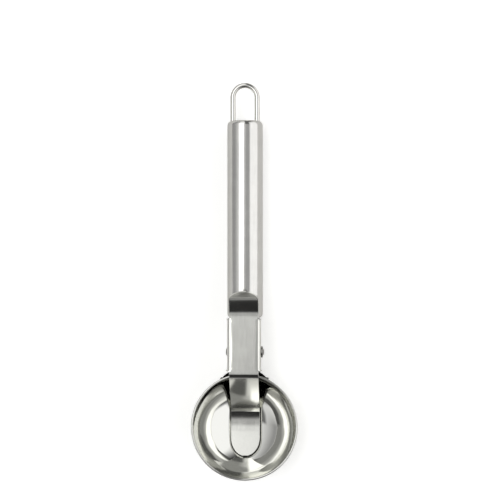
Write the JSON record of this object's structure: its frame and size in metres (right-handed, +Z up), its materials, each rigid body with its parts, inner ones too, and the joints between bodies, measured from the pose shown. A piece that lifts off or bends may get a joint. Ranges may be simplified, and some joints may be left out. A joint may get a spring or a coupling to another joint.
{
  "type": "ice cream scoop",
  "caption": "Ice cream scoop with a round steel bowl, a tube handle with a hanging loop, and a sprung thumb lever whose tongue lifts the ball out of the bowl.",
  "frame": {"origin": "under the middle of the overall length, on the table that bowl and handle lie on", "axes": "+Z up out of the bowl's mouth, +Y from the bowl along the handle to the hanging loop, +X to the right"},
  "size_m": [0.0566, 0.2114, 0.0328],
  "materials": {
    "bowl": "mirror polished",
    "bracket": "satin",
    "handle_tube": "satin, brushed along its length",
    "front_cap": "satin",
    "rear_cap": "satin",
    "hanging_loop": "drawn wire, bright",
    "lever": "bright pressed sheet",
    "pivot_pin": "plain rivet",
    "pin_washer": "plain",
    "return_spring": "drawn spring wire"
  },
  "bodies": {
    "scoop": {"bowl": "bowl", "bracket": "bracket", "handle_tube": "handle_tube", "front_cap": "front_cap", "rear_cap": "rear_cap", "hanging_loop": "hanging_loop", "pivot_pin": "pivot_pin", "pin_washer": "pin_washer", "return_spring": "return_spring"},
    "lever": {"lever": "lever"}
  },
  "joints": [
    {"name": "lever_pivot", "type": "hinge", "parent": "scoop", "child": "lever", "pos_m": [0, -0.03765, 0.01942], "axis": [-1, 0, 0], "range_deg": [0, 13], "stiffness_Nm_per_rad": 0.25, "springref_deg": -20.05, "deforming": ["return_spring"]}
  ]
}
